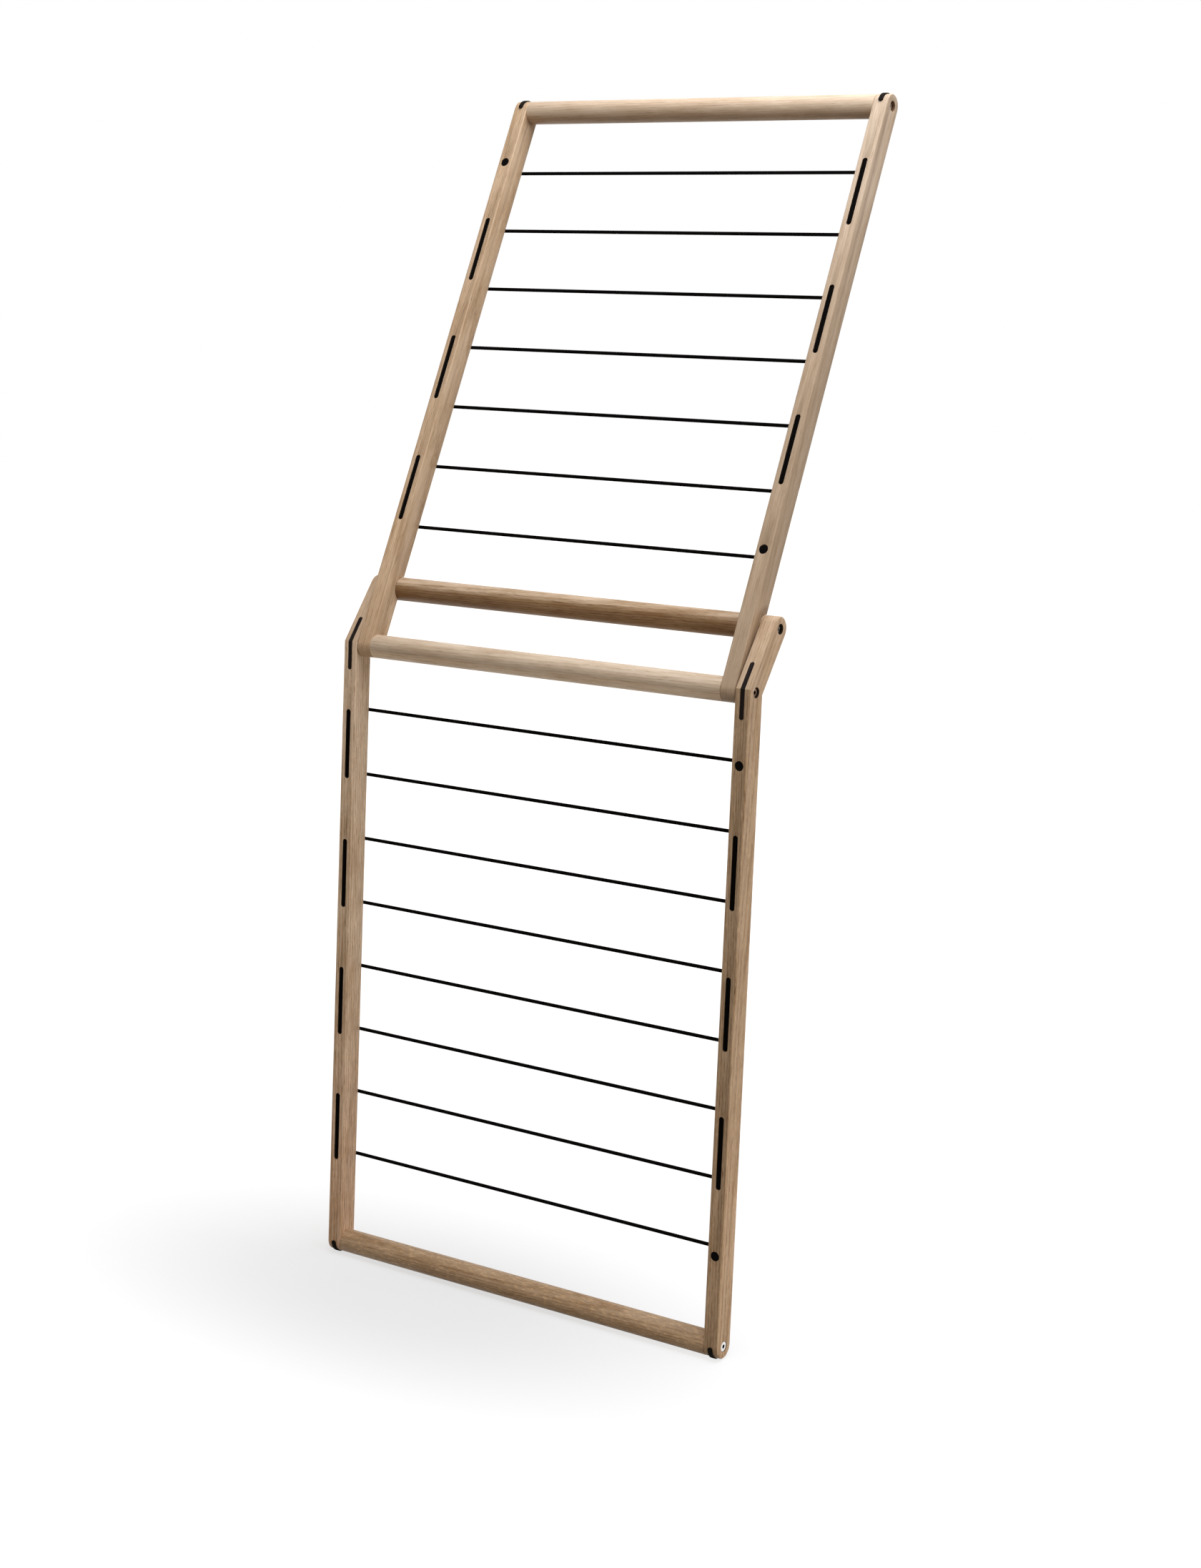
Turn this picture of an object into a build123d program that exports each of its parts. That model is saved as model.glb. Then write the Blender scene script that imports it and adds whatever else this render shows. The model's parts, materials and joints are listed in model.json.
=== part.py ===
import os
from math import atan2, cos, degrees, hypot, radians, sin, sqrt, tan

from build123d import *

os.makedirs("parts", exist_ok=True)

# A folding drying rack that stands on the floor and leans its top on a wall, in millimetres.
# The upper frame is hinged between the legs of the lower one. It leans back on a stop rung
# and folds forward and down between the legs. Elastic cord is laced across both frames.
# X runs along the rungs, Y from front to back and Z up. The origin is on the floor,
# midway between the feet.

# Oak bars and rungs
overall_width = 600.0
bar_width = 20.0
bar_depth = 30.0
edge_chamfer = 1.0
rung_diameter = 30.0
hidden_sides = 8  # cords, their holes and hidden shanks are many sided, so that what repeats has few faces

# Frames
leg_length = 796.0  # bottom rung axis to pivot axis
lean_angle = 4.3  # legs from upright
open_angle = 23.6  # stiles from the line of the legs
pivot_gap = 1.0  # between a stile and the leg beside it
stop_height = 85.0  # pivot axis to stop rung axis, along a stile
stop_setback = 17.5  # stop rung axis behind the middle of a stile
stop_clearance = 0.4  # round the stop rung in a stile's notch
fold_clearance = 2.5  # bumper strips to bottom rung when folded

# Mitre keys, foot strips and bumper strips
key_width = 5.0
key_depth = 5.0
key_reach = 36.5  # each way from the mitre's front corner
strip_width = 5.0
strip_inlay = 2.0
strip_proud = 1.5
strip_rise = 1.0  # past the axis of the rounded end

# Cord lacing
cord_diameter = 4.0
cord_play = 1.0  # holes and slots wider than the cord
cord_gap = 0.3  # cord to the back faces and to the slots' floors
cord_cover = 0.7  # cord in a slot below the front face
lower_run_count = 8
lower_first_run = 86.0  # below the pivot axis
lower_last_run = 115.0  # above the bottom rung axis
lower_start = 1  # side of the first cord end: 1 is right, -1 is left
upper_run_count = 7
upper_first_run = 81.0  # below the top rung axis
upper_last_run = 171.0  # above the pivot axis
upper_start = -1

# Cord ends
plug_diameter = 11.6
plug_thickness = 3.0
plug_chamfer = 0.5
plug_play = 0.4  # recess wider than its plug
plug_sink = 0.4  # plug below the front face
ferrule_diameter = 8.0
ferrule_length = 6.0

# Bolts, inserts and pivots
bolt_diameter = 6.0
bolt_play = 0.6  # holes wider than the bolts
bolt_reach = 14.0  # into a rung
head_diameter = 12.0
head_height = 4.0
head_play = 1.0  # counterbores wider than the heads
counterbore_depth = 7.5
foot_counterbore_depth = 5.2  # bolt heads at the feet lie nearly flush
socket_size = 5.0  # across flats
socket_depth = 2.6
insert_diameter = 9.0
insert_length = 16.0
thread_play = 0.1  # insert bore wider than the bolt
shoulder_diameter = 8.0
shoulder_play = 0.1  # bush bore wider than the shoulder
bush_diameter = 10.0
flange_diameter = 11.6
flange_thickness = 1.0
head_gap = 0.4  # pivot bolt head to bush flange
washer_diameter = 18.0
washer_gap = 0.4  # washer to the leg beside it
washer_play = 0.4  # washer bore wider than the shoulder

# Worked out from the sizes above
half_depth = bar_depth / 2
rung_radius = rung_diameter / 2
foot_radius = half_depth + strip_proud
stile_length = leg_length - rung_radius - foot_radius - fold_clearance
ear_length = hypot(stop_setback, stop_height)
ear_bend = open_angle + degrees(atan2(stop_setback, stop_height))
mitre_rise = half_depth * tan(radians(ear_bend / 2))
leg_x = (overall_width - bar_width) / 2
stile_x = leg_x - bar_width - pivot_gap
leg_inner_x = leg_x - bar_width / 2
stile_inner_x = stile_x - bar_width / 2
counterbore_diameter = head_diameter + head_play
hole_width = cord_diameter + cord_play
slot_depth = cord_diameter + cord_gap + cord_cover
plug_seat = plug_sink + plug_thickness
ferrule_seat = plug_seat + plug_sink + ferrule_length
sides = (("left", -1), ("right", 1))

# Axes of the bottom rung and of the pivot, as (y, z)
bottom_axis = (0.0, foot_radius)
pivot_axis = (
    leg_length * sin(radians(lean_angle)),
    foot_radius + leg_length * cos(radians(lean_angle)),
)


def side_plane(x, tilt, axis):
    # Plane across the rack whose own x axis points back and y axis points up a tilted bar
    back = (0, cos(radians(tilt)), -sin(radians(tilt)))
    return Plane(origin=(x, *axis), x_dir=back, z_dir=(1, 0, 0))


def leg_side(x):
    return side_plane(x, lean_angle, bottom_axis)


def ear_side(x):
    return side_plane(x, lean_angle + ear_bend, pivot_axis)


def stile_side(x):
    return side_plane(x, lean_angle + open_angle, pivot_axis)


def front_of(side):
    # Plane on the front face of the bar whose middle is the given side plane
    origin = side.from_local_coords((-half_depth, 0, 0))
    return Plane(origin=origin, x_dir=(1, 0, 0), z_dir=-side.x_dir)


def outward_plane(side, along, x, sign):
    # Plane that faces out of the rack at a point on a bar's middle line
    origin = side(0).from_local_coords((0, along, sign * x))
    return Plane(origin=origin, x_dir=(0, 1, 0), z_dir=(sign, 0, 0))


def run_heights(first, last, count):
    # Heights of the cord runs along a bar, evenly spaced from the top down
    pitch = (first - last) / (count - 1)
    return [first - number * pitch for number in range(count)]


def slot_ends(runs, start, sign):
    # Upper and lower ends of the slots on one side: each slot leads down from one run to the next
    pairs = enumerate(zip(runs, runs[1:]))
    return [pair for number, pair in pairs if start * (-1) ** (number + 1) == sign]


def end_heights(runs, start, sign):
    # Heights of the cord ends on one side
    ends = ((start, runs[0]), (start * (-1) ** len(runs), runs[-1]))
    return [height for side, height in ends if side == sign]


lower_runs = run_heights(leg_length - lower_first_run, lower_last_run, lower_run_count)
upper_runs = run_heights(stile_length - upper_first_run, upper_last_run, upper_run_count)


def many_sided(across):
    # Outline of a cord or of a hidden shank, with flats across each axis
    RegularPolygon(across / 2, hidden_sides, major_radius=False, rotation=180 / hidden_sides)


def add_disc(plane, diameter, height):
    # Round solid out of a plane, along its direction
    with BuildSketch(plane) as disc:
        Circle(diameter / 2)
    extrude(disc.sketch, amount=height)


def add_shank(plane, across, height):
    # Hidden many sided solid out of a plane, along its direction
    with BuildSketch(plane) as shank:
        many_sided(across)
    extrude(shank.sketch, amount=height)


def bore(plane, diameter, depth):
    # Round hole into the part from a plane, against the plane's direction
    with BuildSketch(plane) as opening:
        Circle(diameter / 2)
    extrude(opening.sketch, amount=-depth, mode=Mode.SUBTRACT)


def shank_bore(plane, across, depth):
    # Hidden many sided hole into the part from a plane, against the plane's direction
    with BuildSketch(plane) as opening:
        many_sided(across)
    extrude(opening.sketch, amount=-depth, mode=Mode.SUBTRACT)


def cut_lacing(front, runs, start, sign):
    # Cord holes right through, slots on the front face, and round recesses for the cord ends
    with BuildSketch(front) as holes:
        with Locations(*[(0, height) for height in runs]):
            many_sided(hole_width)
    extrude(holes.sketch, amount=-bar_depth, mode=Mode.SUBTRACT)
    for top, bottom in slot_ends(runs, start, sign):
        with BuildSketch(front) as slot:
            with Locations((0, top), (0, bottom)):
                many_sided(hole_width)
            with Locations((0, (top + bottom) / 2)):
                Rectangle(hole_width, top - bottom)
        extrude(slot.sketch, amount=-slot_depth, mode=Mode.SUBTRACT)
    for height in end_heights(runs, start, sign):
        recess = Plane(front.from_local_coords((0, height, 0)), x_dir=front.x_dir, z_dir=front.z_dir)
        bore(recess, plug_diameter + plug_play, ferrule_seat)


def bolt_bore(side, along, x, sign, depth):
    # Counterbored bolt hole through a bar, from its outer face
    outer = outward_plane(side, along, x + bar_width / 2, sign)
    bore(outer, counterbore_diameter, depth)
    shank_bore(outer, bolt_diameter + bolt_play, bar_width)


def add_head(seat):
    # Cylinder head with a hexagon socket, seated on a plane
    add_disc(seat, head_diameter, head_height)
    with BuildSketch(seat.offset(head_height)) as socket:
        RegularPolygon(socket_size / 2, 6, major_radius=False)
    extrude(socket.sketch, amount=-socket_depth, mode=Mode.SUBTRACT)


def end_strip(side, x, along, turn):
    # Rubber strip round a half round bar end, with blunted tips: turn is -1 for a foot and 1 for a top end.
    # Its bed in the wood is cut in five flats.
    outer = half_depth + strip_proud
    inner = half_depth - strip_inlay
    flat = inner * tan(radians(22.5))
    leg_end = along - turn * strip_rise
    tip = leg_end + turn * strip_width / 2
    end = along + turn * outer
    with BuildPart() as strip:
        with BuildSketch(side(x - strip_width / 2)):
            with BuildLine():
                Line((-outer, leg_end), (-outer, along))
                ThreePointArc((-outer, along), (0, end), (outer, along))
                Polyline(
                    (outer, along),
                    (outer, leg_end),
                    (inner, leg_end),
                    (inner, along + turn * flat),
                    (flat, along + turn * inner),
                    (-flat, along + turn * inner),
                    (-inner, along + turn * flat),
                    (-inner, leg_end),
                    (-outer, leg_end),
                )
            make_face()
        extrude(amount=strip_width)
        with BuildSketch(front_of(side(x))) as outline:
            with Locations((0, tip)):
                many_sided(strip_width)
            with Locations((0, (tip + end) / 2)):
                Rectangle(strip_width, abs(end - tip))
        extrude(outline.sketch, amount=2 * bar_depth, both=True, mode=Mode.INTERSECT)
    return strip.part


def finish(piece, name):
    # Label and write one finished piece
    piece.label = name
    export_step(piece, f"parts/{name}.step")


# Feet and bumpers
strips = {}
for name, sign in sides:
    strips[name, "foot"] = end_strip(leg_side, sign * leg_x, 0, -1)
    strips[name, "bumper"] = end_strip(stile_side, sign * stile_x, stile_length, 1)
for (name, kind), strip in strips.items():
    finish(strip, f"{name}_{kind}_strip")

# Mitre keys, flush with the front faces of leg and ear
keys = {}
key_tip = key_reach - key_width / 2
key_corner = leg_length + mitre_rise
key_inner_corner = leg_length + mitre_rise * (1 - key_depth / half_depth)
ear_x = sin(radians(ear_bend))
ear_y = cos(radians(ear_bend))
for name, sign in sides:
    middle = sign * leg_x
    upper_front = (-half_depth + key_tip * ear_x, key_corner + key_tip * ear_y)
    upper_back = (upper_front[0] + key_depth * ear_y, upper_front[1] - key_depth * ear_x)
    with BuildPart() as key:
        with BuildSketch(leg_side(middle - key_width / 2)):
            with BuildLine():
                Polyline(
                    (-half_depth, key_corner - key_tip),
                    (-half_depth, key_corner),
                    upper_front,
                    upper_back,
                    (-half_depth + key_depth, key_inner_corner),
                    (-half_depth + key_depth, key_corner - key_tip),
                    close=True,
                )
            make_face()
        extrude(amount=key_width)
        for side, reach in ((leg_side, key_corner - key_tip), (ear_side, key_tip - mitre_rise)):
            with BuildSketch(front_of(side(middle))) as tip:
                with Locations((0, reach)):
                    Circle(key_width / 2)
            extrude(tip.sketch, amount=-key_depth)
    keys[name] = key.part
    finish(key.part, f"{name}_mitre_key")

# Legs, rounded at the foot and mitred at the top
for name, sign in sides:
    middle = sign * leg_x
    with BuildPart() as leg:
        with BuildSketch(leg_side(middle - bar_width / 2)):
            with BuildLine():
                Polyline(
                    (-half_depth, 0),
                    (-half_depth, leg_length + mitre_rise),
                    (half_depth, leg_length - mitre_rise),
                    (half_depth, 0),
                )
                CenterArc((0, 0), half_depth, 180, 180)
            make_face()
        extrude(amount=bar_width)
        long_edges = leg.edges().filter_by(Axis((0, 0, 0), leg_side(0).y_dir))
        chamfer(long_edges + leg.edges().filter_by(GeomType.CIRCLE), length=edge_chamfer)
        cut_lacing(front_of(leg_side(middle)), lower_runs, lower_start, sign)
        bolt_bore(leg_side, 0, leg_x, sign, foot_counterbore_depth)
        pivot_face = outward_plane(leg_side, leg_length, leg_x + bar_width / 2, sign)
        bore(pivot_face, counterbore_diameter, counterbore_depth)
        shank_bore(pivot_face, bush_diameter, bar_width)
        add(keys[name], mode=Mode.SUBTRACT)
        add(strips[name, "foot"], mode=Mode.SUBTRACT)
    finish(leg.part, f"{name}_leg")

# Ears, mitred to the legs and rounded at the stop rung
for name, sign in sides:
    middle = sign * leg_x
    with BuildPart() as ear:
        with BuildSketch(ear_side(middle - bar_width / 2)):
            with BuildLine():
                Polyline(
                    (-half_depth, ear_length),
                    (-half_depth, -mitre_rise),
                    (half_depth, mitre_rise),
                    (half_depth, ear_length),
                )
                CenterArc((0, ear_length), half_depth, 0, 180)
            make_face()
        extrude(amount=bar_width)
        long_edges = ear.edges().filter_by(Axis((0, 0, 0), ear_side(0).y_dir))
        chamfer(long_edges + ear.edges().filter_by(GeomType.CIRCLE), length=edge_chamfer)
        bolt_bore(ear_side, ear_length, leg_x, sign, counterbore_depth)
        pivot_face = outward_plane(ear_side, 0, leg_x + bar_width / 2, sign)
        bore(pivot_face, counterbore_diameter, counterbore_depth)
        shank_bore(pivot_face, bush_diameter, bar_width)
        add(keys[name], mode=Mode.SUBTRACT)
    finish(ear.part, f"{name}_ear")

# Stiles, rounded at both ends and notched at the back for the stop rung
for name, sign in sides:
    middle = sign * stile_x
    with BuildPart() as stile:
        with BuildSketch(stile_side(middle - bar_width / 2)):
            with Locations((0, stile_length / 2)):
                SlotCenterToCenter(stile_length, bar_depth, rotation=90)
        extrude(amount=bar_width)
        chamfer(stile.faces().filter_by(Axis.X).edges(), length=edge_chamfer)
        with BuildSketch(stile_side(middle - bar_width / 2)):
            with Locations((stop_setback, stop_height)):
                Circle(rung_radius + stop_clearance)
        extrude(amount=bar_width, mode=Mode.SUBTRACT)
        cut_lacing(front_of(stile_side(middle)), upper_runs, upper_start, sign)
        bolt_bore(stile_side, stile_length, stile_x, sign, counterbore_depth)
        pivot_face = outward_plane(stile_side, 0, stile_x + bar_width / 2, sign)
        shank_bore(pivot_face, bolt_diameter + bolt_play, bar_width)
        add(strips[name, "bumper"], mode=Mode.SUBTRACT)
    finish(stile.part, f"{name}_stile")

# Rungs with a threaded insert in each end, and the bolts that hold all but the pivot rung
rungs = (
    ("bottom_rung", leg_side, 0, leg_inner_x, foot_counterbore_depth),
    ("stop_rung", ear_side, ear_length, leg_inner_x, counterbore_depth),
    ("pivot_rung", stile_side, 0, stile_inner_x, counterbore_depth),
    ("top_rung", stile_side, stile_length, stile_inner_x, counterbore_depth),
)
for name, side, along, end_x, depth in rungs:
    with BuildPart() as rung:
        add_disc(outward_plane(side, along, -end_x, 1), rung_diameter, 2 * end_x)
        for _, sign in sides:
            shank_bore(outward_plane(side, along, end_x, sign), insert_diameter, insert_length)
    finish(rung.part, name)
    with BuildPart() as inserts:
        for _, sign in sides:
            end = outward_plane(side, along, end_x, sign)
            add_shank(end.offset(-insert_length), insert_diameter, insert_length)
            shank_bore(end, bolt_diameter + thread_play, insert_length)
    finish(inserts.part, f"{name}_inserts")
    if name == "pivot_rung":
        continue
    with BuildPart() as bolts:
        for _, sign in sides:
            end = outward_plane(side, along, end_x, sign)
            add_shank(end.offset(-bolt_reach), bolt_diameter, bolt_reach + bar_width - depth)
            add_head(end.offset(bar_width - depth))
    finish(bolts.part, f"{name}_bolts")

# Pivots: shoulder bolts that turn with the stiles, in bushes held by the mitred legs
with BuildPart() as pivot_bushes:
    for _, sign in sides:
        floor = outward_plane(leg_side, leg_length, leg_x + bar_width / 2 - counterbore_depth, sign)
        add_shank(floor, flange_diameter, flange_thickness)
        add_shank(floor.offset(counterbore_depth - bar_width), bush_diameter, bar_width - counterbore_depth)
        bore(floor.offset(flange_thickness), shoulder_diameter + shoulder_play, bar_width)
finish(pivot_bushes.part, "pivot_bushes")

with BuildPart() as pivot_bolts:
    for _, sign in sides:
        stile_face = outward_plane(stile_side, 0, stile_x + bar_width / 2, sign)
        shoulder = pivot_gap + bar_width - counterbore_depth + flange_thickness + head_gap
        add_disc(stile_face, shoulder_diameter, shoulder)
        add_shank(stile_face.offset(-bar_width - bolt_reach), bolt_diameter, bar_width + bolt_reach)
        add_head(stile_face.offset(shoulder))
finish(pivot_bolts.part, "pivot_bolts")

with BuildPart() as pivot_washers:
    for _, sign in sides:
        stile_face = outward_plane(stile_side, 0, stile_x + bar_width / 2, sign)
        add_shank(stile_face, washer_diameter, pivot_gap - washer_gap)
        shank_bore(stile_face.offset(pivot_gap), shoulder_diameter + washer_play, pivot_gap)
finish(pivot_washers.part, "pivot_washers")

# Cords: across the back faces, through each bar and down one pitch in its front slot.
# Each square turn at a hole's edge is made in two half turns, tangent to the bend's arc.
cord_back = half_depth + cord_gap + cord_diameter / 2
cord_front = -half_depth + cord_cover + cord_diameter / 2
cord_end = -half_depth + ferrule_seat - ferrule_length
cord_bend = hole_width / 2
bend_cut = cord_bend * (2 - sqrt(2))
lacings = (
    ("lower_cord", leg_side, leg_x, lower_runs, lower_start),
    ("upper_cord", stile_side, stile_x, upper_runs, upper_start),
)
for name, side, bar_x, runs, start in lacings:
    x = start * bar_x
    corners = [Vector(cord_end, runs[0], x)]
    for number, height in enumerate(runs):
        corners += [Vector(cord_back, height, x), Vector(cord_back, height, -x)]
        x = -x
        if height != runs[-1]:
            corners += [Vector(cord_front, height, x), Vector(cord_front, runs[number + 1], x)]
    corners.append(Vector(cord_end, runs[-1], x))
    points = [corners[0]]
    for before, corner, after in zip(corners, corners[1:], corners[2:]):
        points.append(corner + (before - corner).normalized() * bend_cut)
        points.append(corner + (after - corner).normalized() * bend_cut)
    points.append(corners[-1])
    with BuildPart() as cord:
        with BuildLine() as route:
            Polyline(*[side(0).from_local_coords(point) for point in points])
        path = route.wire()
        with BuildSketch(Plane(origin=path @ 0, x_dir=(1, 0, 0), z_dir=path % 0)):
            many_sided(cord_diameter)
        section = cord.pending_faces[0].area
        sweep(path=path, transition=Transition.RIGHT)
    volume_share = cord.part.volume / (section * path.length)
    print(name, "length", round(path.length), "volume over section times length", round(volume_share, 4))
    finish(cord.part, name)

    # Crimped ferrules on the cord's ends, and the plugs over them
    with BuildPart() as ferrules:
        for _, sign in sides:
            for height in end_heights(runs, start, sign):
                front = front_of(side(sign * bar_x))
                seat = Plane(front.from_local_coords((0, height, -ferrule_seat)), (1, 0, 0), front.z_dir)
                with BuildSketch(seat) as crimp:
                    RegularPolygon(ferrule_diameter / 2, 6)
                    with BuildSketch(mode=Mode.SUBTRACT):
                        many_sided(cord_diameter)
                extrude(crimp.sketch, amount=ferrule_length)
    finish(ferrules.part, f"{name}_ferrules")
    with BuildPart() as plugs:
        for _, sign in sides:
            for height in end_heights(runs, start, sign):
                front = front_of(side(sign * bar_x))
                seat = Plane(front.from_local_coords((0, height, -plug_seat)), (1, 0, 0), front.z_dir)
                add_disc(seat, plug_diameter, plug_thickness - plug_chamfer)
                with BuildSketch(seat.offset(plug_thickness - plug_chamfer)) as rim:
                    Circle(plug_diameter / 2)
                extrude(rim.sketch, amount=plug_chamfer, taper=45)
    finish(plugs.part, f"{name}_plugs")
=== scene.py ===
import bpy
import json
from math import cos, radians, sin
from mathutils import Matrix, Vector


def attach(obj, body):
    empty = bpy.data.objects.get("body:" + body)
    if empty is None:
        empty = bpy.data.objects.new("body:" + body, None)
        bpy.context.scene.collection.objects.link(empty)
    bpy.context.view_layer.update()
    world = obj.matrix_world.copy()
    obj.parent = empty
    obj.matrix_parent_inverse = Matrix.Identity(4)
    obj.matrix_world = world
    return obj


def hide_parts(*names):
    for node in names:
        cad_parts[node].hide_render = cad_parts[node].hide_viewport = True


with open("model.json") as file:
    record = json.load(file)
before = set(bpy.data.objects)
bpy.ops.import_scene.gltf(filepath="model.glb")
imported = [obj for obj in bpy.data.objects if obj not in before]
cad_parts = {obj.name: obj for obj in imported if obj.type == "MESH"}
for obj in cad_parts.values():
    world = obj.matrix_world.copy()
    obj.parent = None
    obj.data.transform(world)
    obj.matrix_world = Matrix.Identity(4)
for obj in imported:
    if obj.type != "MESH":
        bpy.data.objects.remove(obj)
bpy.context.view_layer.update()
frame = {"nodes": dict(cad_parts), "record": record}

nodes = frame["nodes"]
upperNodes = frame["record"]["behaviour"]["bodies"]["upper_frame"]
scene = bpy.context.scene
scene.view_settings.view_transform = "Standard"

# camera where the photograph was taken from
view = dict(place=(1.7341, -2.4609, 1.3847), aim=(-0.5374, 0.8206, -0.2002), lens=58.284, sensor=36,
            shiftY=-0.0494)

cameraData = bpy.data.cameras.new("rackCamera")
cameraData.lens = view["lens"]
cameraData.sensor_width = view["sensor"]
cameraData.shift_y = view["shiftY"]
camera = bpy.data.objects.new("rackCamera", cameraData)
camera.location = view["place"]
camera.rotation_euler = Vector(view["aim"]).to_track_quat("-Z", "Y").to_euler()
scene.collection.objects.link(camera)
scene.camera = camera
print("camera set")


# small helpers for objects
def pick(piece):
    bpy.ops.object.select_all(action="DESELECT")
    piece.select_set(True)
    bpy.context.view_layer.objects.active = piece


def paint(piece, material):
    piece.data.materials.clear()
    piece.data.materials.append(material)


# small helpers for node trees
def addNode(tree, kind, **values):
    node = tree.nodes.new(kind)
    for key, value in values.items():
        setattr(node, key, value)
    return node


def link(tree, start, end):
    tree.links.new(start, end)


def feed(tree, socket, value):
    # a number or colour is set, an output is linked
    if isinstance(value, (int, float, tuple)):
        socket.default_value = value
    else:
        link(tree, value, socket)


def mathNode(tree, operation, first, second=None, clamp=False):
    node = addNode(tree, "ShaderNodeMath", operation=operation, use_clamp=clamp)
    feed(tree, node.inputs[0], first)
    if second is not None:
        feed(tree, node.inputs[1], second)
    return node.outputs[0]


def times(tree, first, second, clamp=False):
    return mathNode(tree, "MULTIPLY", first, second, clamp)


def plus(tree, first, second, clamp=False):
    return mathNode(tree, "ADD", first, second, clamp)


def minus(tree, first, second):
    return mathNode(tree, "SUBTRACT", first, second)


def ramp(tree, value, low, high, toLow=0.0, toHigh=1.0):
    node = addNode(tree, "ShaderNodeMapRange", interpolation_type="SMOOTHSTEP")
    link(tree, value, node.inputs["Value"])
    for name, number in (("From Min", low), ("From Max", high), ("To Min", toLow), ("To Max", toHigh)):
        node.inputs[name].default_value = number
    return node.outputs["Result"]


def vectorMath(tree, operation, vector, values):
    node = addNode(tree, "ShaderNodeVectorMath", operation=operation)
    link(tree, vector, node.inputs[0])
    node.inputs[1].default_value = values
    return node


# where the values of a noise mostly lie
noiseSpan, noiseMiddle = (0.2, 0.8), 0.5


def noise(tree, vector, scale, detail=2.0, roughness=0.5):
    # noise at its own scale along each axis of the vector
    node = addNode(tree, "ShaderNodeTexNoise")
    link(tree, vectorMath(tree, "MULTIPLY", vector, scale).outputs["Vector"], node.inputs["Vector"])
    node.inputs["Scale"].default_value = 1.0
    node.inputs["Detail"].default_value = detail
    node.inputs["Roughness"].default_value = roughness
    return node.outputs["Fac"]


def mixColor(tree, factor, first, second, mode="MIX"):
    node = addNode(tree, "ShaderNodeMix", data_type="RGBA", blend_type=mode)
    for name, value in (("Factor", factor), ("A", first), ("B", second)):
        feed(tree, node.inputs[name], value)
    return node.outputs["Result"]


def tint(tree, color, factors):
    return mixColor(tree, 1.0, color, factors, "MULTIPLY")


def splitAxes(tree, vector):
    node = addNode(tree, "ShaderNodeSeparateXYZ")
    link(tree, vector, node.inputs[0])
    return node.outputs["X"], node.outputs["Y"], node.outputs["Z"]


def objectPlace(tree):
    return addNode(tree, "ShaderNodeTexCoord").outputs["Object"]


def addBump(tree, shader, height, strength, distance):
    bump = addNode(tree, "ShaderNodeBump")
    bump.inputs["Strength"].default_value = strength
    bump.inputs["Distance"].default_value = distance
    link(tree, height, bump.inputs["Height"])
    link(tree, bump.outputs["Normal"], shader.inputs["Normal"])


def newGroup(name, inputs, outputs):
    group = bpy.data.node_groups.new(name, "ShaderNodeTree")
    for title, kind, default in inputs:
        socket = group.interface.new_socket(name=title, in_out="INPUT", socket_type=kind)
        if default is not None:
            socket.default_value = default
    for title, kind in outputs:
        group.interface.new_socket(name=title, in_out="OUTPUT", socket_type=kind)
    start = group.nodes.new("NodeGroupInput")
    end = group.nodes.new("NodeGroupOutput")
    return group, start, end


def newMaterial(name):
    material = bpy.data.materials.new(name)
    material.use_nodes = True
    return material, material.node_tree, material.node_tree.nodes["Principled BSDF"]


# oak: straight grain along z, growth rings round a far pith, short dark pores mostly in the early wood
oak = dict(ease=0.00045, gloss=0.25, bump=(0.35, 0.0004),
           ringWidth=0.0031, pith=(0.052, 0.031), lean=0.018, warp=0.006, unevenRings=1.6,
           earlyRise=(0.0, 0.2), earlyFall=(0.2, 0.7, 1.0, 0.0),
           poreEdge=(0.58, 0.68), finePores=0.6, earlyPores=(0.0, 0.7, 0.35, 1.0), figuredPores=1.6,
           poreTint=(0.46, 0.38, 0.30, 1), poreShare=0.9,
           fleckEdge=(0.52, 0.62), fleckTint=(1.5, 1.46, 1.36, 1),
           rough=0.40, fibreRough=0.16, poreRough=0.15, fibreHeight=0.35, poreDepth=0.8)
# its layers of noise: scale along each axis, detail and roughness
layers = dict(wanderX=((7.0, 7.0, 1.6), 1.0), wanderY=((5.0, 9.0, 2.3), 1.0), rings=((60.0, 60.0, 2.0), 2.0),
              fibre=((950.0, 950.0, 62.0), 3.0, 0.65), hair=((3300.0, 3300.0, 90.0), 2.0, 0.6),
              pores=((1050.0, 1050.0, 50.0), 1.5, 0.6), fine=((2300.0, 2300.0, 110.0), 1.5, 0.6),
              streak=((230.0, 230.0, 24.0), 2.0, 0.6), tone=((34.0, 34.0, 11.0), 2.0),
              drift=((14.0, 14.0, 2.4), 2.0), fleck=((420.0, 420.0, 130.0), 3.0, 0.6))
# what each adds to the share of darker wood
shares = dict(start=0.26, early=0.7, fibre=3.0, hair=1.4, linesMiddle=2.2, streak=1.3, tone=1.3, drift=1.0)


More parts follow.
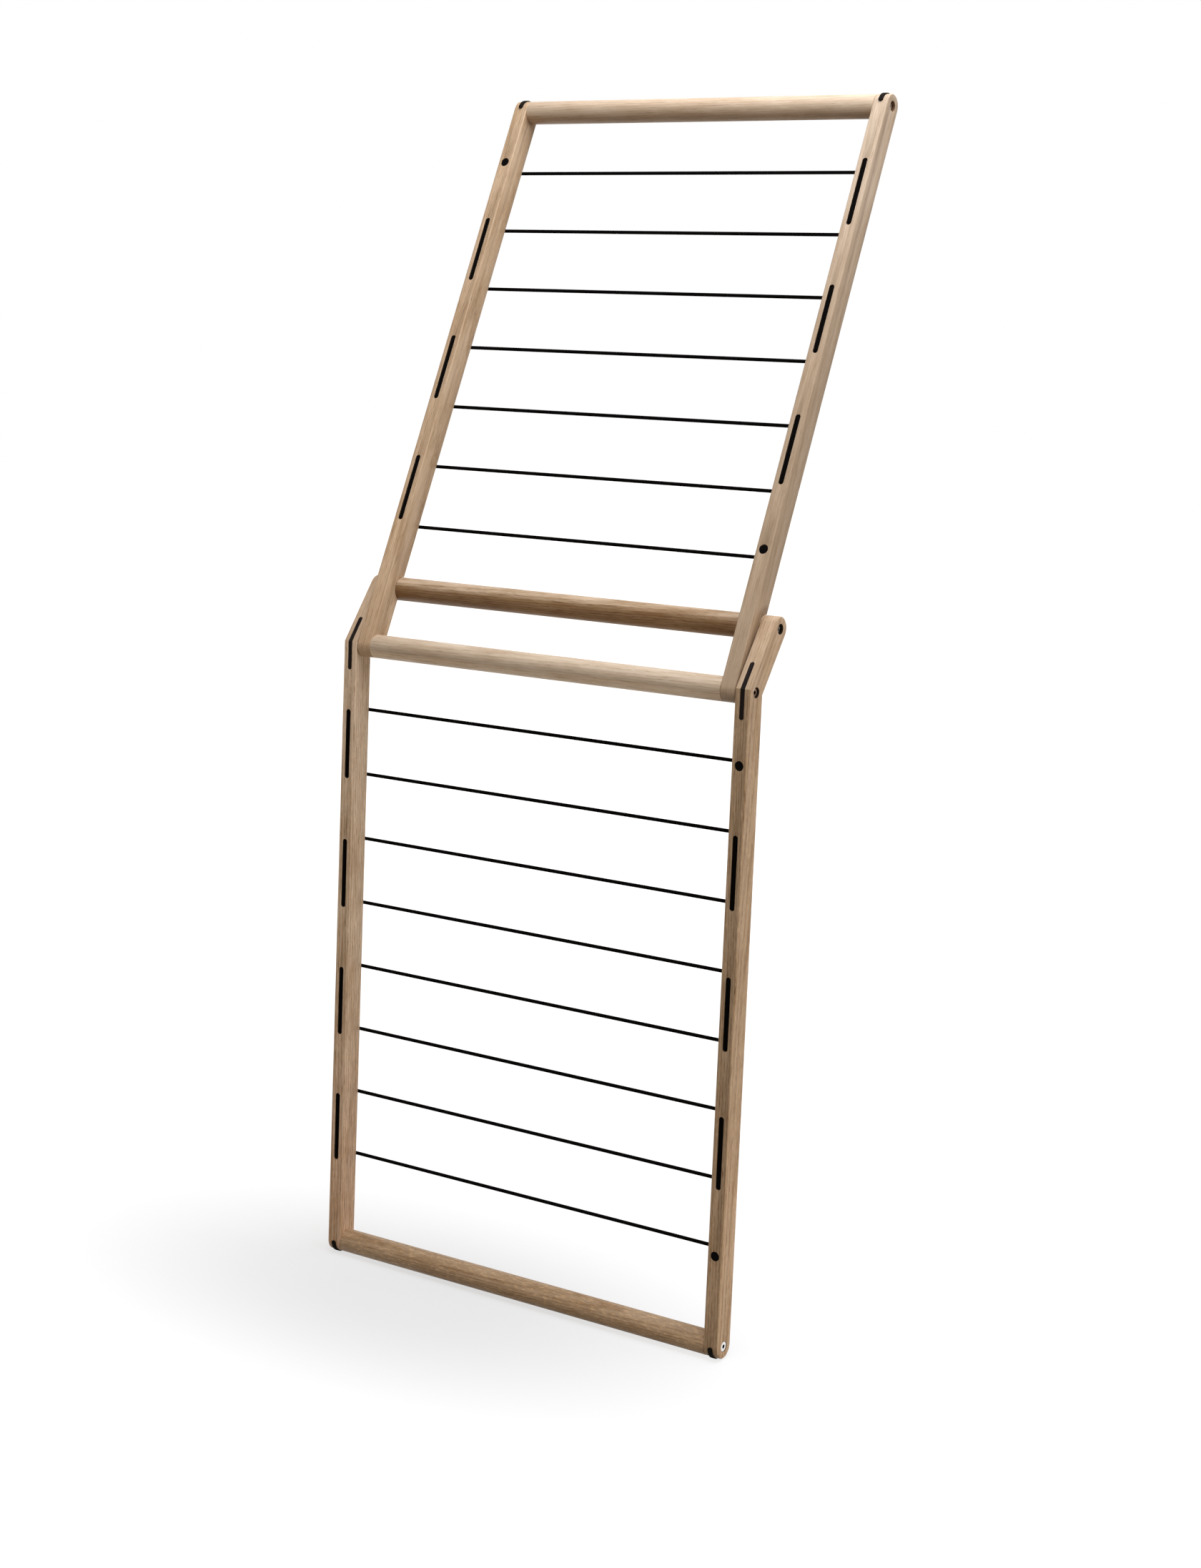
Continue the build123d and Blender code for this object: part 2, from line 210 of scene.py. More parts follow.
def buildOakGrain():
    tree, start, end = newGroup(
        "oakGrain",
        [("Vector", "NodeSocketVector", None), ("Light", "NodeSocketColor", (0.6, 0.45, 0.33, 1)),
         ("Dark", "NodeSocketColor", (0.4, 0.27, 0.18, 1)), ("Figure", "NodeSocketFloat", 0.5),
         ("Fleck", "NodeSocketFloat", 0.0)],
        [("Color", "NodeSocketColor"), ("Roughness", "NodeSocketFloat"), ("Height", "NodeSocketFloat")])
    vector, figure = start.outputs["Vector"], start.outputs["Figure"]
    layer = {name: noise(tree, vector, *values) for name, values in layers.items()}
    slow = ("wanderX", "wanderY", "streak", "tone", "drift")
    centred = {name: minus(tree, layer[name], noiseMiddle) for name in slow}
    # rings round the pith, with a slow wander of the fibres
    x, y, z = splitAxes(tree, vector)
    x = plus(tree, x, times(tree, centred["wanderX"], oak["warp"] * 2))
    x = plus(tree, plus(tree, x, times(tree, z, oak["lean"])), oak["pith"][0])
    y = plus(tree, y, times(tree, centred["wanderY"], oak["warp"]))
    y = plus(tree, y, oak["pith"][1])
    away = mathNode(tree, "SQRT", plus(tree, times(tree, x, x), times(tree, y, y)))
    ring = mathNode(tree, "DIVIDE", away, oak["ringWidth"])
    phase = mathNode(tree, "FRACT", plus(tree, ring, times(tree, layer["rings"], oak["unevenRings"])))
    early = times(tree, ramp(tree, phase, *oak["earlyRise"]), ramp(tree, phase, *oak["earlyFall"]))
    # pores
    pores = ramp(tree, layer["pores"], *oak["poreEdge"])
    fine = ramp(tree, layer["fine"], *oak["poreEdge"])
    pores = mathNode(tree, "MAXIMUM", pores, times(tree, fine, oak["finePores"]))
    pores = times(tree, pores, ramp(tree, early, *oak["earlyPores"]))
    pores = times(tree, pores, times(tree, figure, oak["figuredPores"]))
    # share of the darker wood
    share = times(tree, early, times(tree, figure, shares["early"]))
    lines = times(tree, layer["fibre"], shares["fibre"])
    lines = plus(tree, lines, times(tree, layer["hair"], shares["hair"]))
    share = plus(tree, share, times(tree, minus(tree, lines, shares["linesMiddle"]), figure))
    for name in ("streak", "tone", "drift"):
        share = plus(tree, share, times(tree, centred[name], shares[name]))
    share = plus(tree, share, shares["start"], clamp=True)
    wood = mixColor(tree, share, start.outputs["Light"], start.outputs["Dark"])
    wood = mixColor(tree, times(tree, pores, oak["poreShare"]), wood, tint(tree, wood, oak["poreTint"]))
    # pale curls where the rays are cut
    curl = times(tree, ramp(tree, layer["fleck"], *oak["fleckEdge"]), start.outputs["Fleck"])
    wood = mixColor(tree, curl, wood, tint(tree, wood, oak["fleckTint"]))
    link(tree, wood, end.inputs["Color"])
    rough = plus(tree, times(tree, layer["fibre"], oak["fibreRough"]), oak["rough"])
    rough = plus(tree, rough, times(tree, pores, oak["poreRough"]))
    link(tree, rough, end.inputs["Roughness"])
    raised = times(tree, layer["fibre"], oak["fibreHeight"])
    link(tree, minus(tree, raised, times(tree, pores, oak["poreDepth"])), end.inputs["Height"])
    return tree


oakGrain = buildOakGrain()

# each oak piece: turn of its length to the grain, place in the tree, figure, light and dark wood
palest, pale, plain = (0.64, 0.475, 0.32, 1), (0.58, 0.415, 0.265, 1), (0.52, 0.365, 0.225, 1)
brown, deep = (0.41, 0.26, 0.14, 1), (0.32, 0.19, 0.09, 1)
alongLeg, alongStile, alongEar = ((radians(tilt), 0, 0) for tilt in (4.3, 27.9, 39.53))
alongRung = (0, radians(-90), 0)
oakPieces = {
    "left_leg": dict(turn=alongLeg, shift=(0.31, 0.12, 1.7), figure=0.62, fleck=0.25,
                     light=(0.72, 0.55, 0.385, 1), dark=(0.44, 0.285, 0.155, 1)),
    "right_leg": dict(turn=alongLeg, shift=(-0.30, -0.05, 0.4), figure=0.68, fleck=0.35,
                      light=(0.465, 0.325, 0.20, 1), dark=(0.28, 0.168, 0.082, 1)),
    "left_ear": dict(turn=alongEar, shift=(0.33, 0.45, 2.1), figure=0.4, light=palest, dark=brown),
    "right_ear": dict(turn=alongEar, shift=(-0.28, 0.50, 3.3), figure=0.4, light=palest, dark=brown),
    "left_stile": dict(turn=alongStile, shift=(0.27, 0.30, 5.2), figure=0.5, light=pale, dark=brown),
    "right_stile": dict(turn=alongStile, shift=(-0.25, 0.35, 4.1), figure=0.32,
                        light=(0.60, 0.465, 0.335, 1), dark=(0.44, 0.315, 0.205, 1)),
    "bottom_rung": dict(turn=alongRung, shift=(0.02, 0.01, 0.9), figure=0.55, fleck=0.7,
                        light=plain, dark=deep),
    "pivot_rung": dict(turn=alongRung, shift=(0.81, -0.05, 2.6), figure=0.34,
                       light=(0.69, 0.56, 0.415, 1), dark=(0.48, 0.34, 0.215, 1)),
    "stop_rung": dict(turn=alongRung, shift=(0.87, -0.11, 6.4), figure=0.6,
                      light=(0.60, 0.45, 0.305, 1), dark=(0.34, 0.21, 0.105, 1)),
    "top_rung": dict(turn=alongRung, shift=(1.48, -0.41, 7.5), figure=0.3,
                     light=(0.65, 0.505, 0.36, 1), dark=(0.46, 0.32, 0.20, 1)),
}
# painted light and shade: on these pieces the wood below a height is made lighter or darker, standing in for
# how the light falls along the bars, for light from below on the pivot rung and for shade under the stop and
# top rungs. Heights between which it changes, and what the lower wood is times
paintedLightByHeight = {
    "left_leg": dict(low=0.0, high=0.5, below=(1.12, 1.04, 1.03, 1)),
    "right_leg": dict(low=0.12, high=0.42, below=(1.16, 1.15, 1.15, 1)),
    "left_stile": dict(low=0.90, high=1.15, below=(1.13, 1.14, 1.15, 1)),
    "right_stile": dict(low=1.20, high=1.50, below=(0.83, 0.79, 0.735, 1)),
    "stop_rung": dict(low=0.8793, high=0.8893, below=(0.55, 0.44, 0.30, 1)),
    "pivot_rung": dict(low=0.8030, high=0.8105, below=(1.52, 1.53, 1.54, 1)),
    "top_rung": dict(low=1.4740, high=1.4820, below=(0.86, 0.80, 0.76, 1)),
}
paintedLightEdge = dict(scale=(6.0, 90.0, 90.0), height=0.012)


def oakMaterial(name, turn, shift, figure, light, dark, fleck=0.0):
    material, tree, shader = newMaterial("oak_" + name)
    place = objectPlace(tree)
    mapping = addNode(tree, "ShaderNodeMapping")
    mapping.inputs["Rotation"].default_value = turn
    mapping.inputs["Location"].default_value = shift
    link(tree, place, mapping.inputs["Vector"])
    grain = addNode(tree, "ShaderNodeGroup", node_tree=oakGrain)
    link(tree, mapping.outputs["Vector"], grain.inputs["Vector"])
    for title, value in (("Light", light), ("Dark", dark), ("Figure", figure), ("Fleck", fleck)):
        grain.inputs[title].default_value = value
    color = grain.outputs["Color"]
    # painted light and shade: the wood below a height made lighter or darker, with an uneven edge
    if name in paintedLightByHeight:
        lightBelow = paintedLightByHeight[name]
        height = splitAxes(tree, place)[2]
        uneven = minus(tree, noise(tree, place, paintedLightEdge["scale"]), noiseMiddle)
        level = plus(tree, height, times(tree, uneven, paintedLightEdge["height"]))
        share = ramp(tree, level, lightBelow["low"], lightBelow["high"], 1.0, 0.0)
        color = mixColor(tree, share, color, tint(tree, color, lightBelow["below"]))
    link(tree, color, shader.inputs["Base Color"])
    link(tree, grain.outputs["Roughness"], shader.inputs["Roughness"])
    addBump(tree, shader, grain.outputs["Height"], *oak["bump"])
    shader.inputs["Specular IOR Level"].default_value = oak["gloss"]
    return material


# cord: thickness across the frame and in the slots, depths in the bars, distance of the runs
lacing = dict(taut=0.0045, slack=0.0055, back=0.0173, front=-0.0122, tip=-0.0112, pitch=0.085, ease=0.0045,
              order=3, alongSteps=5, roundSteps=3, smooth=50)
# each lacing: foot or hinge axis of its frame, tilt, half width, height of the top run, number of runs and
# the side it starts on
lacings = {
    "lower": dict(axis=(0.0, 0.0165), tilt=4.3, side=0.290, top=0.710, runs=8, start=1),
    "upper": dict(axis=(0.05968, 0.81026), tilt=27.9, side=0.269, top=0.681, runs=7, start=-1),
}


def lacedPlace(values, side, back, up):
    # world place from the side of the frame, the depth in its bar and the height along it
    tilt = radians(values["tilt"])
    return Vector((side * values["side"],
                   values["axis"][0] + up * sin(tilt) + back * cos(tilt),
                   values["axis"][1] + up * cos(tilt) - back * sin(tilt)))


# slots with round ends in the front faces and the holes through to the back, each with its depths in the bar
slots = dict(radius=0.0034, inset=0.0008, depths=(-0.018, -0.0094), sides=32)
holes = dict(radius=0.0029, depths=(0.004, 0.018))
recessShade = dict(streak=((900.0, 900.0, 160.0), 3.0, 0.6), rough=(0.7, 0.9), gloss=0.1)


def shadedRecessMaterial(name, low, high):
    # painted shade: wood made dark where it lies deep in the slots and the bolt recesses
    material, tree, shader = newMaterial(name)
    streak = noise(tree, objectPlace(tree), *recessShade["streak"])
    link(tree, mixColor(tree, streak, low, high), shader.inputs["Base Color"])
    link(tree, ramp(tree, streak, *noiseSpan, *recessShade["rough"]), shader.inputs["Roughness"])
    shader.inputs["Specular IOR Level"].default_value = recessShade["gloss"]
    return material


# painted shade for the walls of the slots and the bolt recesses: near black, and brown for the top bolts
slotPaintedShade = shadedRecessMaterial("slotPaintedShade", (0.012, 0.008, 0.005, 1), (0.035, 0.022, 0.013, 1))
borePaintedShade = shadedRecessMaterial("borePaintedShade", (0.12, 0.065, 0.036, 1), (0.22, 0.125, 0.07, 1))
# recesses of the bolt heads: axis across the rack and the wood inside, which takes painted shade
recess = dict(reach=0.0066, depth=0.0078, rim=0.0003)
recesses = {
    "bottom": dict(axis=lacedPlace(lacings["lower"], 0, 0.0, 0.0), wood=slotPaintedShade),
    "pivot": dict(axis=lacedPlace(lacings["upper"], 0, 0.0, 0.0), wood=slotPaintedShade),
    "stop": dict(axis=lacedPlace(lacings["upper"], 0, 0.0175, 0.085), wood=slotPaintedShade),
    "top": dict(axis=lacedPlace(lacings["upper"], 0, 0.0, 0.762), wood=borePaintedShade),
}


def makeCutter(values, side, spans, depths, radius):
    # a round cutter per span, drawn out along the bar from its top to its bottom
    made = []
    halfStep = radians(180 / slots["sides"])
    thick = depths[1] - depths[0]
    for top, bottom in spans:
        bpy.ops.object.select_all(action="DESELECT")
        bpy.ops.mesh.primitive_cylinder_add(vertices=slots["sides"], radius=radius, depth=thick)
        cutter = bpy.context.active_object
        bpy.ops.transform.rotate(value=halfStep, orient_axis="Z", center_override=(0, 0, 0))
        bpy.ops.object.transform_apply(location=True, rotation=True, scale=True)
        bpy.ops.object.mode_set(mode="EDIT")
        bpy.ops.mesh.select_mode(type="VERT")
        bpy.ops.mesh.select_all(action="DESELECT")
        bpy.ops.object.mode_set(mode="OBJECT")
        for vertex in cutter.data.vertices:
            vertex.select = vertex.co.y < 0
        bpy.ops.object.mode_set(mode="EDIT")
        bpy.ops.transform.translate(value=(0, bottom - top, 0))
        bpy.ops.object.mode_set(mode="OBJECT")
        cutter.rotation_euler = (radians(90 - values["tilt"]), 0, 0)
        cutter.location = lacedPlace(values, side, sum(depths) / 2, top)
        bpy.ops.object.transform_apply(location=True, rotation=True, scale=True)
        made.append(cutter)
    pick(made[0])
    for cutter in made:
        cutter.select_set(True)
    if len(made) > 1:
        bpy.ops.object.join()
    # the walls this cuts take painted shade
    made[0].data.materials.append(slotPaintedShade)
    return made[0]


def cutSlots(piece, values, side):
    heights = [values["top"] - run * lacing["pitch"] for run in range(values["runs"])]
    slotSpans = [(top - slots["inset"], bottom + slots["inset"])
                 for run, (top, bottom) in enumerate(zip(heights, heights[1:]))
                 if side == values["start"] * (-1) ** (run + 1)]
    holeSpans = [(height, height) for height in heights]
    for spans, shape in ((slotSpans, slots), (holeSpans, holes)):
        cutter = makeCutter(values, side, spans, shape["depths"], shape["radius"])
        pick(piece)
        cut = piece.modifiers.new("cut", "BOOLEAN")
        cut.object = cutter
        cut.operation = "DIFFERENCE"
        cut.solver = "EXACT"
        cut.material_mode = "TRANSFER"
        bpy.ops.object.modifier_apply(modifier=cut.name)
        bpy.data.objects.remove(cutter, do_unlink=True)


def shadeInside(piece, axis, material, reach, depth, rim):
    # faces round an axis across the rack, below the outer face, take another material: painted shade in the
    # bolt recesses and sockets
    piece.data.materials.append(material)
    index = len(piece.data.materials) - 1
    outer = max(abs(vertex.co.x) for vertex in piece.data.vertices)
    for face in piece.data.polygons:
        away = Vector((0, face.center.y - axis.y, face.center.z - axis.z)).length
        if away < reach and outer - depth < abs(face.center.x) < outer - rim:
            face.material_index = index


# copies of CAD pieces: distance at which points merge, and angles in degrees
softness = dict(merge=0.00001, flat=1.0, corner=28, smooth=35)


def softCopy(node, name, material, width, segments=2, laced=None):
    # a copy of a CAD piece, with slots if it is laced and with its edges eased
    body = "upper_frame" if node in upperNodes else "lower_frame"
    piece = bpy.data.objects.new(name, nodes[node].data.copy())
    paint(piece, material)
    scene.collection.objects.link(piece)
    pick(piece)
    bpy.ops.object.mode_set(mode="EDIT")
    bpy.ops.mesh.select_all(action="SELECT")
    bpy.ops.mesh.remove_doubles(threshold=softness["merge"])
    bpy.ops.mesh.dissolve_limited(angle_limit=radians(softness["flat"]))
    bpy.ops.object.mode_set(mode="OBJECT")
    if laced:
        cutSlots(piece, *laced)
    if width:
        ease = piece.modifiers.new("easedEdges", "BEVEL")
        ease.width = width
        ease.segments = segments
        ease.limit_method = "ANGLE"
        ease.angle_limit = radians(softness["corner"])
        bpy.ops.object.modifier_apply(modifier=ease.name)
    bpy.ops.object.shade_smooth_by_angle(angle=radians(softness["smooth"]))
    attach(piece, body)
    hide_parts(node)
    return piece


# kinds of bar: the recesses in it, and the lacing that runs through it
boredBars = {"leg": ("pivot", "bottom"), "ear": ("pivot", "stop"), "stile": ("top",)}
lacedBars = {"leg": "lower", "stile": "upper"}
sides = {"left": -1, "right": 1}
for node, values in oakPieces.items():
    where, kind = node.split("_")
    laced = (lacings[lacedBars[kind]], sides[where]) if kind in lacedBars else None
    name = where + kind.capitalize() + "Wood"
    wood = softCopy(node, name, oakMaterial(node, **values), oak["ease"], laced=laced)
    # painted shade on the walls of the bolt recesses
    for bored in boredBars.get(kind, ()):
        shadeInside(wood, recesses[bored]["axis"], recesses[bored]["wood"], **recess)
print("oak bars and rungs done")

# black rubber and plastic: fine speckle, slow clouds, how much lighter those are, spread of the roughness
black = dict(speckle=(3.0, 0.6), cloud=((40.0, 40.0, 40.0), 2.0), lift=(1.8, 0.002), rough=(-0.1, 0.08),
             bump=0.4)


def blackMaterial(name, color, roughness, gloss, size, depth):
    material, tree, shader = newMaterial(name)
    place = objectPlace(tree)
    speckle = noise(tree, place, (size, size, size), *black["speckle"])
    cloud = noise(tree, place, *black["cloud"])
    factor, rise = black["lift"]
    lighter = tuple(value * factor + rise for value in color)
    link(tree, mixColor(tree, cloud, (*color, 1), (*lighter, 1)), shader.inputs["Base Color"])
    spread = [roughness + step for step in black["rough"]]
    link(tree, ramp(tree, speckle, *noiseSpan, *spread), shader.inputs["Roughness"])
    addBump(tree, shader, speckle, black["bump"], depth)
    shader.inputs["Specular IOR Level"].default_value = gloss
    return material


# rubber strips round the ends, keys across the mitres, plugs over the cord ends
rubberBlack = blackMaterial("rubberBlack", (0.0075, 0.006, 0.0045), 0.75, 0.03, 1800.0, 0.00012)
keyBlack = blackMaterial("keyBlack", (0.010, 0.007, 0.0058), 0.65, 0.04, 2400.0, 0.00008)
plugBlack = blackMaterial("plugBlack", (0.0012, 0.0009, 0.0008), 0.5, 0.02, 2600.0, 0.00006)
nylonBlack = blackMaterial("nylonBlack", (0.02, 0.02, 0.02), 0.5, 0.4, 1500.0, 0.00005)
inlay = dict(stripEase=0.0004, plugEase=0.0003, easeSteps=3, stripWiden=1.2, keyWiden=1.17,
             keyProud=(0, -0.0001125, 0.0000415))


def moveMesh(piece, resize, middle, step=(0, 0, 0)):
    # the mesh is resized about a place and moved, and the object stays
    pick(piece)
    bpy.ops.object.mode_set(mode="EDIT")
    bpy.ops.mesh.select_all(action="SELECT")
    bpy.ops.transform.resize(value=resize, center_override=middle)
    bpy.ops.transform.translate(value=step)
    bpy.ops.object.mode_set(mode="OBJECT")


def middleX(piece):
    across = [vertex.co.x for vertex in piece.data.vertices]
    return ((min(across) + max(across)) / 2, 0, 0)


for end in ("foot", "bumper"):
    for side in sides:
        node, name = f"{side}_{end}_strip", side + end.capitalize() + "Rubber"
        strip = softCopy(node, name, rubberBlack, inlay["stripEase"], inlay["easeSteps"])
        moveMesh(strip, (inlay["stripWiden"], 1, 1), middleX(strip))
for side in sides:
    key = softCopy(side + "_mitre_key", side + "Key", keyBlack, 0.0)
    moveMesh(key, (inlay["keyWiden"], 1, 1), middleX(key), inlay["keyProud"])
for name in lacings:
    node = name + "_cord_plugs"
    softCopy(node, name + "Plugs", plugBlack, inlay["plugEase"], inlay["easeSteps"])
for node in ("pivot_bushes", "pivot_washers"):
    paint(nodes[node], nylonBlack)
print("rubber, keys and plugs done")

# tight braid of the cord, seen as two sets of slanting ridges, with painted shade darkening the hollows
# between them
braid = dict(turns=(3100.0, 1700.0, 2600.0), fuzz=((2400.0, 2400.0, 2400.0), 3.0, 0.6), raised=(-0.4, 1.0),
             low=(0.003, 0.0027, 0.0025, 1), high=(0.009, 0.008, 0.0075, 1), rough=(0.62, 0.85),
             fuzzHeight=0.4, bump=(0.3, 0.0002), gloss=0.0)


def cordMaterial():
    material, tree, shader = newMaterial("cordBlack")
    place = objectPlace(tree)
    across, depth, up = braid["turns"]
    ridges = []
    for slant in (1.0, -1.0):
        turned = vectorMath(tree, "DOT_PRODUCT", place, (across, depth * slant, up * slant))
        ridges.append(mathNode(tree, "SINE", turned.outputs["Value"]))
    raised = ramp(tree, mathNode(tree, "MAXIMUM", *ridges), *braid["raised"])
    fuzz = noise(tree, place, *braid["fuzz"])
    # painted shade: the hollows of the braid darker than its raised strands
    shade = times(tree, raised, fuzz, clamp=True)
    link(tree, mixColor(tree, shade, braid["low"], braid["high"]), shader.inputs["Base Color"])
    link(tree, ramp(tree, fuzz, *noiseSpan, *braid["rough"]), shader.inputs["Roughness"])
    addBump(tree, shader, plus(tree, raised, times(tree, fuzz, braid["fuzzHeight"])), *braid["bump"])
    shader.inputs["Specular IOR Level"].default_value = braid["gloss"]
    return material


def lacingCorners(values):
    # back and forth across the frame, and down a slot at each side
    corners = [(values["start"], lacing["tip"], values["top"])]
    side = values["start"]
    for run in range(values["runs"]):
        up = values["top"] - run * lacing["pitch"]
        corners += [(side, lacing["back"], up), (-side, lacing["back"], up)]
        side = -side
        if run < values["runs"] - 1:
            corners += [(side, lacing["front"], up), (side, lacing["front"], up - lacing["pitch"])]
    corners.append((side, lacing["tip"], up))
    return [(lacedPlace(values, *corner), corner[1] < 0) for corner in corners]


def makeCord(name, values, material):
    # taut and thin across the frame, slack and full in the slots
    corners = lacingCorners(values)
    route = [corners[0]]
    for (first, firstSlack), (second, secondSlack) in zip(corners, corners[1:]):
        step = (second - first).normalized() * lacing["ease"]
        route += [(first + step, firstSlack), (second - step, secondSlack), (second, secondSlack)]
    curve = bpy.data.curves.new(name, "CURVE")
    curve.dimensions = "3D"
    curve.bevel_depth = lacing["taut"] / 2
    curve.bevel_resolution = lacing["roundSteps"]
    curve.use_fill_caps = True
    spline = curve.splines.new("NURBS")
    spline.points.add(len(route) - 1)
    for point, (place, slack) in zip(spline.points, route):
        point.co = (*place, 1)
        point.radius = lacing["slack"] / lacing["taut"] if slack else 1.0
    spline.order_u = lacing["order"]
    spline.use_endpoint_u = True
    spline.resolution_u = lacing["alongSteps"]
    piece = bpy.data.objects.new(name, curve)
    scene.collection.objects.link(piece)
    pick(piece)
    bpy.ops.object.convert(target="MESH")
    piece = bpy.context.active_object
    bpy.ops.object.mode_set(mode="EDIT")
    bpy.ops.mesh.select_all(action="SELECT")
    bpy.ops.mesh.remove_doubles(threshold=softness["merge"])
    bpy.ops.mesh.normals_make_consistent(inside=False)
    bpy.ops.object.mode_set(mode="OBJECT")
    bpy.ops.object.shade_smooth_by_angle(angle=radians(lacing["smooth"]))
    paint(piece, material)
    return piece


cordBlack = cordMaterial()
for frameName, values in lacings.items():
    cord = makeCord(frameName + "Lacing", values, cordBlack)
    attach(cord, frameName + "_frame")
    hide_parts(frameName + "_cord")
print("lacing done")

# metals: fine scratches along the bolts, how dull those are, spread of the roughness
metal = dict(scratch=((300.0, 2600.0, 2600.0), 3.0, 0.6), dull=0.8, rough=(-0.06, 0.1))


def metalMaterial(name, color, roughness):
    material, tree, shader = newMaterial(name)
    scratch = noise(tree, objectPlace(tree), *metal["scratch"])
    dull = tuple(value * metal["dull"] for value in color)
    link(tree, mixColor(tree, scratch, (*color, 1), (*dull, 1)), shader.inputs["Base Color"])
    spread = [roughness + step for step in metal["rough"]]
    link(tree, ramp(tree, scratch, *noiseSpan, *spread), shader.inputs["Roughness"])
    shader.inputs["Metallic"].default_value = 1.0
    return material


insertBrass = metalMaterial("insertBrass", (0.72, 0.55, 0.28), 0.35)
ferruleAluminium = metalMaterial("ferruleAluminium", (0.75, 0.75, 0.76), 0.35)
# bolts at the feet in bright steel; the ones above are the same steel with painted shade, the pivot and top
# bolts also with a painted brown reflection of the wood round them; every hexagon socket has painted shade,
# black inside
boltSteels = {
    "bottom_rung_bolts": metalMaterial("boltSteel", (0.90, 0.88, 0.86), 0.24),
    "stop_rung_bolts": metalMaterial("shadedSteel", (0.36, 0.33, 0.30), 0.3),
    "top_rung_bolts": metalMaterial("woodReflectingSteel", (0.50, 0.39, 0.31), 0.24),
    "pivot_bolts": metalMaterial("shadedWoodReflectingSteel", (0.25, 0.16, 0.11), 0.3),
}
# painted shade for the insides of the hexagon sockets
socketPaintedShade = blackMaterial("socketPaintedShade", (0.004, 0.0035, 0.003), 0.7, 0.02, 2600.0, 0.00002)
socket = dict(reach=0.0031, depth=0.0045, rim=0.0002)
# the heads at the feet lie nearly flush
bolts = dict(ease=0.0002, footReach=1.003)
for node, steel in boltSteels.items():
    where = node.split("_")[0]
    bolt = softCopy(node, where + "Bolts", steel, bolts["ease"])
    shadeInside(bolt, recesses[where]["axis"], socketPaintedShade, **socket)
    if where == "bottom":
        moveMesh(bolt, (bolts["footReach"], 1, 1), (0, 0, 0))
for where in recesses:
    paint(nodes[where + "_rung_inserts"], insertBrass)
for name in lacings:
    paint(nodes[name + "_cord_ferrules"], ferruleAluminium)
print("bolts and hidden metal done")

# white surround and pale floor, with a painted shadow: the floor glows less in an oval round the feet
light = dict(ambient=(1.0, 0.83, 0.67), ambientStrength=0.27, floorGrey=0.22, floorSize=16.0,
             glow=(0.65, 0.88, 1.1), glowReach=(0.1, 1.1, 6.0), shadeMiddle=(-0.11, -0.075),
             shadeReach=(0.62, 0.33))


def seenDirectly(tree):
    # rays that show the surround itself, not its light on something
    rays = addNode(tree, "ShaderNodeLightPath")
    bent = mathNode(tree, "MAXIMUM", rays.outputs["Is Glossy Ray"], rays.outputs["Is Transmission Ray"])
    return mathNode(tree, "MAXIMUM", rays.outputs["Is Camera Ray"], bent)


def backdrop(tree, color, strength):
    node = addNode(tree, "ShaderNodeBackground")
    node.inputs["Color"].default_value = (*color, 1)
    node.inputs["Strength"].default_value = strength
    return node.outputs[0]


world = bpy.data.worlds.new("studio")
world.use_nodes = True
scene.world = world
tree = world.node_tree
tree.nodes.clear()
mix = addNode(tree, "ShaderNodeMixShader")
link(tree, seenDirectly(tree), mix.inputs["Fac"])
link(tree, backdrop(tree, light["ambient"], light["ambientStrength"]), mix.inputs[1])
link(tree, backdrop(tree, (1, 1, 1), 1.0), mix.inputs[2])
output = addNode(tree, "ShaderNodeOutputWorld")
link(tree, mix.outputs[0], output.inputs["Surface"])

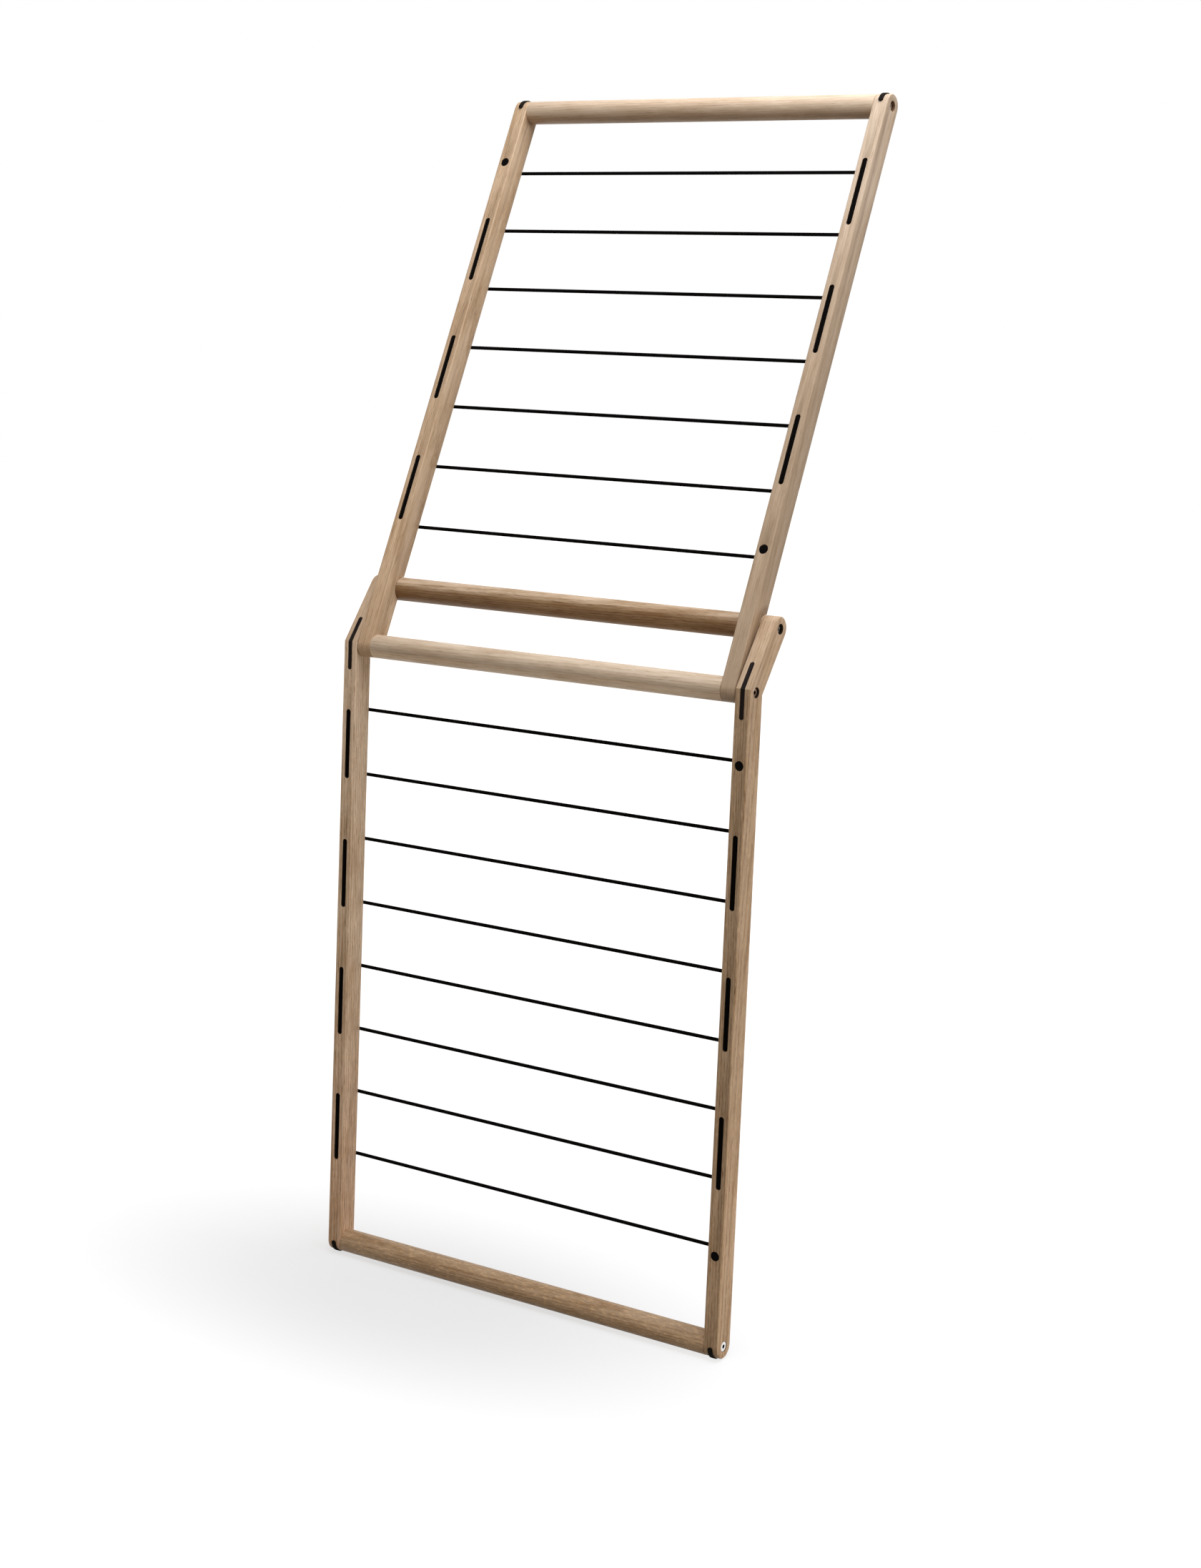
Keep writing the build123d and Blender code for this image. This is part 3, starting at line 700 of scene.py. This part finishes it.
bpy.ops.object.select_all(action="DESELECT")
bpy.ops.mesh.primitive_plane_add(size=light["floorSize"], location=(0, 0, 0))
floor = bpy.context.active_object
floor.name = "floor"
material = bpy.data.materials.new("floorWhite")
material.use_nodes = True
tree = material.node_tree
tree.nodes.clear()
matt = addNode(tree, "ShaderNodeBsdfDiffuse")
matt.inputs["Color"].default_value = (light["floorGrey"],) * 3 + (1,)
# painted shadow: the floor's glow is lower in an oval round the feet
middle = vectorMath(tree, "SUBTRACT", objectPlace(tree), (*light["shadeMiddle"], 0))
oval = vectorMath(tree, "DIVIDE", middle.outputs["Vector"], (*light["shadeReach"], 1))
reach = addNode(tree, "ShaderNodeVectorMath", operation="LENGTH")
link(tree, oval.outputs["Vector"], reach.inputs[0])
away = reach.outputs["Value"]
innerGlow, ovalGlow, outerGlow = light["glow"]
innerReach, ovalReach, outerReach = light["glowReach"]
level = ramp(tree, away, innerReach, ovalReach, innerGlow, ovalGlow)
level = plus(tree, level, ramp(tree, away, ovalReach, outerReach, 0.0, outerGlow - ovalGlow))
glow = addNode(tree, "ShaderNodeEmission")
link(tree, times(tree, seenDirectly(tree), level), glow.inputs["Strength"])
both = addNode(tree, "ShaderNodeAddShader")
link(tree, matt.outputs[0], both.inputs[0])
link(tree, glow.outputs[0], both.inputs[1])
output = addNode(tree, "ShaderNodeOutputMaterial")
link(tree, both.outputs[0], output.inputs["Surface"])
floor.data.materials.append(material)

lamps = {
    "overhead": dict(place=(0.56, 0.05, 2.9), aim=(0.0, 0.2, 0.8), size=(2.0, 1.6), power=61.0,
                     color=(0.95, 1.0, 1.1)),
    "lowRight": dict(place=(1.6, 0.1, 0.18), aim=(0.0, 0.05, 0.15), size=(0.8, 0.35), power=8.5,
                     color=(1.0, 0.95, 0.9)),
    "lowLeft": dict(place=(-1.0, -1.6, 0.3), aim=(-0.05, 0.05, 0.7), size=(1.2, 0.8), power=4.0,
                    color=(1.0, 0.9, 0.8)),
}
for name, values in lamps.items():
    data = bpy.data.lights.new(name, "AREA")
    data.shape = "RECTANGLE"
    data.size, data.size_y = values["size"]
    data.energy = values["power"]
    data.color = values["color"]
    lamp = bpy.data.objects.new(name, data)
    lamp.location = values["place"]
    aim = Vector(values["aim"]) - Vector(values["place"])
    lamp.rotation_euler = aim.to_track_quat("-Z", "Y").to_euler()
    scene.collection.objects.link(lamp)
print("stage lit")
